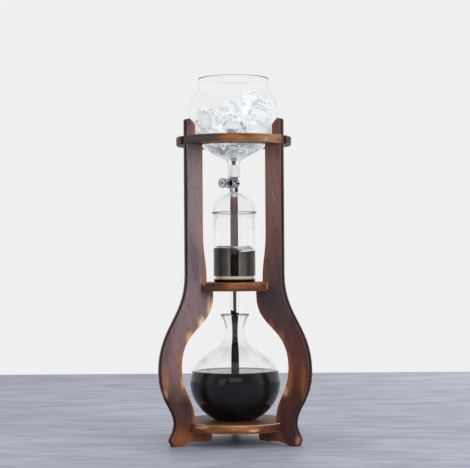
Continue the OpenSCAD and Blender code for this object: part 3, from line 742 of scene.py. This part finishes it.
def millimetres(tree):
    """Place on a piece in millimetres."""
    return scaled(tree, add(tree, "ShaderNodeTexCoord").outputs["Object"], mm_per_m)


def ice_finish():
    """Clear ice with cracks and milky cores."""
    made, tree, out = new_finish("clear_ice")
    place = millimetres(tree)
    cracks = cloud(tree, place, 0.16, 4, 0.6)
    milk = smooth_step(tree, cloud(tree, place, 0.07, 3), 0.42, 0.7)
    colour = tint(tree, milk, (0.972, 0.988, 1.0, 1), (0.965, 0.982, 1.0, 1))
    body = add(tree, "ShaderNodeBsdfPrincipled", {
        "Base Color": colour, "Roughness": 0.02, "IOR": 1.11, "Normal": bumps(tree, 0.2, 0.8, cracks),
        "Transmission Weight": number(tree, "MULTIPLY_ADD", milk, -0.24, 0.80)})
    lit_through(tree, out, body, (0.975, 0.985, 0.99, 1))
    return made


corner_share = 0.17
melt_share = 0.05
ice_clearance = 0.6
ice_bottom = bowl_bottom + 4.5


def washed_cube(form, place, edge, draw):
    """One cube with rounded corners and uneven melted faces, kept inside the bowl."""
    cube = bmesh.ops.create_cube(form, size=edge)["verts"]
    edges = list({e for v in cube for e in v.link_edges})
    cut = bmesh.ops.bevel(form, geom=cube + edges, offset=edge * corner_share, segments=3, profile=0.55,
                          affect="EDGES")
    corners = list({v for f in cut["faces"] for v in f.verts} | {v for v in cube if v.is_valid})
    spin = Euler([draw.uniform(0, 2 * math.pi) for _ in range(3)]).to_matrix()
    stretch = Vector([draw.uniform(0.88, 1.1) for _ in range(3)])
    seed = Vector([draw.uniform(-50, 50) for _ in range(3)])
    for v in corners:
        local = Vector([v.co[k] * stretch[k] for k in range(3)])
        local *= 1 + melt_share * noise.noise(local * 0.18 + seed)
        point = place + spin @ local
        limit = bowl_inside(point.z) - ice_clearance
        reach = math.hypot(point.x, point.y)
        if reach > limit:
            point.x *= limit / reach
            point.y *= limit / reach
        point.z = max(point.z, ice_bottom)
        v.co = point * MM


cube_edge = 23
cubes_in_heap = 41
draw = random.Random(11)
form = bmesh.new()
heap = settle_cubes(cubes_in_heap, cube_edge * 1.06, seed=5)
on_top = [Vector((20, -10, 488)), Vector((39, -16, 476)), Vector((-45, -14, 465))]
for place in heap + on_top:
    washed_cube(form, place, cube_edge * draw.uniform(1.02, 1.2), draw)
ice_mesh = bpy.data.meshes.new("ice_cubes")
form.to_mesh(ice_mesh)
form.free()
ice_mesh.materials.append(ice_finish())
ice = bpy.data.objects.new("ice_cubes", ice_mesh)
frozen = ice.modifiers.new("frozen_together", "REMESH")
frozen.mode = "VOXEL"
frozen.voxel_size = 1.1 * MM
frozen.use_smooth_shade = True
scene.collection.objects.link(ice)
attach(ice, "ice_globe")


# ---------------------------------------------------------------- stopper and drip tip
# A moulded bung of white silicone, pushed up into the stem, grips the tap's nipple. A soft tip of the same silicone
# sits on the tap's outlet.
def silicone_finish(name, colour, rough):
    """Satin moulded silicone that lets a little light in."""
    made, tree, out = new_finish(name)
    dust = cloud(tree, millimetres(tree), 0.8, 3)
    shade = tint(tree, smooth_step(tree, dust, 0.4, 0.8, 0, 0.25), colour, darker(colour, 0.85))
    surfaced(tree, out, {"Base Color": shade, "Roughness": rough, "Normal": bumps(tree, 0.15, 0.1, dust),
                         "Subsurface Weight": 0.3, "Subsurface Radius": (1, 1, 1), "Subsurface Scale": 1.5 * MM})
    return made


white_silicone = silicone_finish("white_silicone", (0.95, 0.95, 0.94, 1), 0.35)
for name in ("stem_stopper", "drip_tip"):
    dress(name, white_silicone)
    eased(name, 0.25, 2)


# ---------------------------------------------------------------- drip tap
# A chromed brass regulating cock: round body, pipes above and below, a hexagonal gland nut and a dished knob with a
# ribbed rim. The turned steel plug and its screw run through the middle.
def metal_finish(name, colour, rough, brushed):
    """Bright metal with faint wipe marks, brushed as deep as given."""
    made, tree, out = new_finish(name)
    place = millimetres(tree)
    wipe = cloud(tree, place, 0.35, 3)
    fine = cloud(tree, scaled(tree, place, (1, 1, 9)), 1.2, 2)
    shade = tint(tree, smooth_step(tree, wipe, 0.3, 0.8, 0, 0.3), colour, darker(colour, 0.72))
    surfaced(tree, out, {"Base Color": shade, "Metallic": 1.0, "Normal": bumps(tree, brushed, 0.04, fine),
                         "Roughness": number(tree, "MULTIPLY_ADD", wipe, 0.12, rough - 0.05)})
    return made


chrome = metal_finish("chrome_plate", (0.60, 0.61, 0.63, 1), 0.08, 0.05)
turned_steel = metal_finish("turned_steel", (0.36, 0.37, 0.39, 1), 0.26, 0.4)
packing = silicone_finish("packing_ring", (0.88, 0.88, 0.87, 1), 0.45)
# Each turned piece's finish, and how far its edges are eased
tap_looks = {"valve_body": (chrome, 0.3), "valve_gland_nut": (chrome, 0.35), "valve_knob": (chrome, 0.18),
             "valve_plug": (turned_steel, 0.15), "knob_screw": (turned_steel, 0.12), "valve_packing": (packing, 0.1)}
for name, (finish, ease) in tap_looks.items():
    dress(name, finish)
    eased(name, ease, 2)


# ---------------------------------------------------------------- brewing cylinder
# One piece of glass: a straight cylinder on a flat floor, with the outlet tube drawn from its middle and cut
# slantwise at the tip.
def rounded(centre, radius, start, step, count):
    """A round corner of a profile about its centre, with a point every so many degrees."""
    angles = [math.radians(start + step * i) for i in range(count)]
    return [(centre[0] + radius * math.cos(a), centre[1] + radius * math.sin(a)) for a in angles]


brewer_low_box, brewer_high_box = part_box("brewer")
brewer_r = brewer_high_box.x / MM
brewer_rim = brewer_high_box.z / MM
outlet_end = brewer_low_box.z / MM
plate_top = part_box("mid_plate")[1].z / MM
brewer_wall = 2.0
brewer_bore = brewer_r - brewer_wall
outlet_r = 6.0
outlet_bore = 4.5
foot_round = 4
floor_round = 1.5
floor_top = plate_top + 3.4
outlet_slope = math.tan(math.radians(22))
brewer_profile = (
    [(outlet_r, outlet_end), (outlet_r, outlet_end + 12), (outlet_r, outlet_end + 24)]
    + bend((outlet_r, plate_top - 2.5), (outlet_r, plate_top - 0.8), (outlet_r + 0.8, plate_top),
           (outlet_r + 2.5, plate_top), 6)
    + rounded((brewer_r - foot_round, plate_top + foot_round), foot_round, -90, 9, 11)
    + [(brewer_r, plate_top + 5), (brewer_r, brewer_rim - 1.4), (brewer_r, brewer_rim - 0.8),
       (brewer_r - 0.3, brewer_rim - 0.2), (brewer_r - 0.9, brewer_rim),
       (brewer_bore + 0.4, brewer_rim - 0.3), (brewer_bore, brewer_rim - 0.9),
       (brewer_bore, brewer_rim - 1.5), (brewer_bore, floor_top + 2.5)]
    + rounded((brewer_bore - floor_round, floor_top + floor_round), floor_round, 0, -15, 7)
    + [(outlet_bore + 4, floor_top - 1), (outlet_bore, floor_top - 3.5), (outlet_bore, outlet_end + 24),
       (outlet_bore, outlet_end + 12), (outlet_bore, outlet_end)]
)
brewer = lathe("brewer_glass", brewer_profile, "brewer_unit", clear_glass)
for v in brewer.data.vertices:
    if v.co.z < (outlet_end + 1) * MM:
        v.co.z = outlet_end * MM + (outlet_r * MM - v.co.x) * outlet_slope
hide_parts("brewer")


# ---------------------------------------------------------------- filter
# A drilled disc of unglazed ceramic under the coffee. A silicone ring grips it and seals it to the glass, and coffee
# has stained both.
def ceramic_finish():
    """Unglazed ceramic with coffee stains."""
    made, tree, out = new_finish("filter_ceramic")
    place = millimetres(tree)
    grit = cloud(tree, place, 1.4, 5, 0.7)
    stain = smooth_step(tree, cloud(tree, place, 0.09, 2), 0.4, 0.75)
    colour = tint(tree, stain, (0.72, 0.64, 0.44, 1), (0.40, 0.30, 0.16, 1))
    surfaced(tree, out, {"Base Color": colour, "Roughness": 0.7, "Normal": bumps(tree, 0.3, 0.15, grit)})
    return made


dress("filter_disc", ceramic_finish())
dress("filter_ring_seal", silicone_finish("stained_silicone", (0.72, 0.63, 0.46, 1), 0.3))
eased("filter_ring_seal", 0.2, 2)


# ---------------------------------------------------------------- steeping coffee
# The cylinder stands full of grounds and water over the filter disc, so turbid that only the wall behind it still
# glows through. That glow, brightest in the middle and dark towards both sides, is painted into the coffee's colour.
# A round paper lies on top and spreads the drops.

# Painted glow and shade of the coffee across the view, from the cylinder's left side to its right
painted_glow_tones = [(0.0, (0.012, 0.011, 0.010)), (0.16, (0.038, 0.033, 0.029)), (0.40, (0.190, 0.166, 0.152)),
              (0.60, (0.220, 0.190, 0.178)), (0.84, (0.110, 0.095, 0.086)), (1.0, (0.004, 0.004, 0.003))]


def steeping_finish():
    """Turbid coffee, with clouds of silt and a painted glow across the view."""
    made, tree, out = new_finish("steeping_coffee")
    place = millimetres(tree)
    silt = smooth_step(tree, cloud(tree, scaled(tree, place, (1, 1, 0.6)), 0.07, 3), 0.35, 0.7)
    grain = cloud(tree, place, 1.1, 4, 0.65)
    across = add(tree, "ShaderNodeSeparateXYZ", {0: place}).outputs["X"]
    # Painted light: the wall's glow is bright in the middle, and painted shade darkens both sides
    ramp = add(tree, "ShaderNodeValToRGB", {"Fac": smooth_step(tree, across, -30, 30)})
    ramp.color_ramp.elements[0].color = (*painted_glow_tones[0][1], 1)
    ramp.color_ramp.elements[1].color = (*painted_glow_tones[-1][1], 1)
    for share, shade in painted_glow_tones[1:-1]:
        ramp.color_ramp.elements.new(share).color = (*shade, 1)
    shade = tint(tree, times(tree, silt, 0.35), ramp.outputs["Color"], (0.05, 0.043, 0.04, 1))
    body = add(tree, "ShaderNodeBsdfPrincipled", {
        "Base Color": shade, "Roughness": 0.03, "IOR": 1.02, "Transmission Weight": 1.0,
        "Normal": bumps(tree, 0.04, 0.1, grain)})
    lit_through(tree, out, body, (0.35, 0.32, 0.30, 1))
    return made


# The coffee reaches a little into the glass, so that no air shows between them
wetting = 0.1
bed_r = brewer_bore + wetting
bed_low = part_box("filter_ring_seal")[1].z / MM + 0.1
bed_top = 279
bed_profile = [(0, bed_low), (bed_r - 0.8, bed_low), (bed_r - 0.4, bed_low), (bed_r, bed_low + 0.4),
               (bed_r, bed_low + 1), (bed_r, bed_top - 0.6), (bed_r, bed_top), (bed_r - 0.6, bed_top + 0.4),
               (bed_r - 3, bed_top), (12, bed_top + 0.6), (0, bed_top + 1)]
bed = lathe("steeping_coffee", bed_profile, "brewer_unit", steeping_finish())


def even_step(x, start, run):
    """0 up to start, 1 from start + run on, and a smooth ramp between them."""
    share = min(1.0, max(0.0, (x - start) / run))
    return share**2 * (3 - 2 * share)


def hollow(x):
    """How far the wet bed has sunk at a place across the view, in millimetres. It sank most right of the middle."""
    return 6.2 * even_step(x, -10, 22) - 2.2 * even_step(x, 13, 14)


for v in bed.data.vertices:
    if v.co.z > (bed_top - 1) * MM:
        v.co.z -= hollow(v.co.x / MM) * MM


def paper_finish():
    """Wet pulp, stained where the drops fall."""
    made, tree, out = new_finish("filter_paper")
    pulp = cloud(tree, millimetres(tree), 1.1, 4, 0.7)
    colour = tint(tree, smooth_step(tree, pulp, 0.35, 0.75), (0.56, 0.54, 0.50, 1), (0.42, 0.38, 0.33, 1))
    surfaced(tree, out, {"Base Color": colour, "Roughness": 0.75, "Normal": bumps(tree, 0.4, 0.12, pulp)})
    return made


paper_profile = [(0, bed_top + 1.2), (14, bed_top + 1.1), (bed_r - 6, bed_top + 0.8), (bed_r - 4, bed_top + 0.7),
                 (bed_r - 2.4, bed_top + 0.9), (bed_r - 1.2, bed_top + 1.2), (bed_r - 0.5, bed_top + 1.6),
                 (bed_r - 0.6, bed_top + 2.2), (bed_r - 1.3, bed_top + 1.8), (bed_r - 2.5, bed_top + 1.5),
                 (bed_r - 4.1, bed_top + 1.3), (bed_r - 6, bed_top + 1.4), (14, bed_top + 1.7), (0, bed_top + 1.8)]
paper_lift = 2.4
paper_wave = 0.8
drape_from = 0.75
drape_fall = 1.12
paper = lathe("paper_disc", paper_profile, "brewer_unit", paper_finish())
for v in paper.data.vertices:
    # One side of the wet paper has lifted a little against the glass, and its rim drapes down onto the sunken bed
    lift = max(0.0, v.co.x / (bed_r * MM))
    out = math.hypot(v.co.x, v.co.y) / (bed_r * MM)
    wave = math.sin(3 * math.atan2(v.co.y, v.co.x)) * out
    drape = max(0.0, (out - drape_from) / (1 - drape_from)) ** 2 * hollow(v.co.x / MM)
    rise = paper_lift * lift**2 * (1 - min(1.0, drape)) + paper_wave * (wave + 1) * out**2
    v.co.z += (rise - drape_fall * drape) * MM


# ---------------------------------------------------------------- domed lid
# A blown glass lid. Its bead rests on the cylinder's rim, a skirt keeps it centred, and the drops fall through the
# hole in its top. Its glass is a little misted.
dome_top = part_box("dome_lid")[1].z / MM
bead_height = 3.0
bead_r = bead_height / 2
dome_wall = 1.8
dome_hole_r = 7.5
skirt_r = brewer_bore - 0.35
skirt_end = brewer_rim - 6
spring = brewer_rim + bead_height
dome_r = brewer_r + 0.7
hole_angle = math.degrees(math.acos(dome_hole_r / dome_r))
dome_rise = (dome_top - spring) / math.sin(math.radians(hole_angle))
dome_outer = oval(spring, dome_r, dome_rise, 0, hole_angle, 30)
dome_profile = (
    rounded((dome_r, brewer_rim + bead_r), bead_r, -90, 15, 13)
    + thick(dome_outer, dome_wall)
    + [(skirt_r - dome_wall, brewer_rim - 0.5), (skirt_r - dome_wall, skirt_end + 0.4),
       (skirt_r - dome_wall / 2, skirt_end), (skirt_r, skirt_end + 0.4), (skirt_r, brewer_rim)]
)
misted_glass = glass_finish("misted_borosilicate", (0.985, 0.985, 0.985, 1), index=1.22, rough=0.04)
dome = lathe("dome_glass", dome_profile, "lid", misted_glass)
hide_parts("dome_lid")


# ---------------------------------------------------------------- flask
# A round flask blown from one gather of glass, with a flat ground under its foot and a flared neck for pouring. It
# stands on the base plate and holds the brewed coffee.
flask_low_box, flask_high_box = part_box("flask")
flask_r = flask_high_box.x / MM
flask_foot = flask_low_box.z / MM
flask_rim = flask_high_box.z / MM
flask_wall = 2.0
flask_middle = flask_foot + 54.5
flask_low = 60
flask_high = 52
flask_neck_r = 13.4
flask_neck_drop = 26
flask_rim_r = 20.6
corner_angle = -58
shoulder_angle = 56
corner = on_oval(flask_middle, flask_r, flask_low, corner_angle)
flask_shoulder = on_oval(flask_middle, flask_r, flask_high, shoulder_angle)
neck_low = (flask_neck_r, flask_rim - flask_neck_drop)
flask_path = (
    [(0, flask_foot), (12, flask_foot)]
    + bend((24, flask_foot), (29, flask_foot), (corner[0] - 3.5, corner[1] - 2), corner, 10)
    + oval(flask_middle, flask_r, flask_low, corner_angle + 3, 0, 30)
    + oval(flask_middle, flask_r, flask_high, 2, shoulder_angle, 26)
    + bend(flask_shoulder, (flask_shoulder[0] - 14.1, flask_shoulder[1] + 7.5), (neck_low[0], neck_low[1] - 14),
           neck_low, 16)[1:]
    + bend(neck_low, (flask_neck_r, neck_low[1] + 12), (flask_rim_r - 3.6, flask_rim - 7),
           (flask_rim_r, flask_rim - 1.5), 14)[1:]
)
flask_profile = thick(flask_path, flask_wall)
flask = lathe("flask_glass", flask_profile, "carafe", clear_glass)
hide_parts("flask")


# ---------------------------------------------------------------- brewed coffee
# Cold coffee, dripped from the outlet. It fills the flask to just above its widest circle, and climbs the glass a
# little at its edge.
coffee_level = 102.5
coffee_climb = 1.2


def liquid_finish():
    """Black coffee, with a faint haze."""
    made, tree, out = new_finish("black_coffee")
    haze = cloud(tree, millimetres(tree), 0.03, 2)
    shade = tint(tree, smooth_step(tree, haze, 0.35, 0.75), (0.008, 0.008, 0.009, 1), (0.018, 0.017, 0.018, 1))
    surfaced(tree, out, {"Base Color": shade, "Roughness": 0.12, "IOR": 1.34, "Specular IOR Level": 0.15})
    return made


inside = []
for r, z in flask_profile[len(flask_path) + polish_steps:][::-1]:
    if z < coffee_level + coffee_climb:
        inside.append((r + wetting if r > 0 else 0.0, z - wetting if r < 30 else z))
edge_r = inside[-1][0]
surface = [(edge_r - 0.7, coffee_level + 0.4), (edge_r - 2.2, coffee_level), (30, coffee_level), (0, coffee_level)]
coffee = lathe("brewed_coffee", inside + surface, "carafe", liquid_finish())
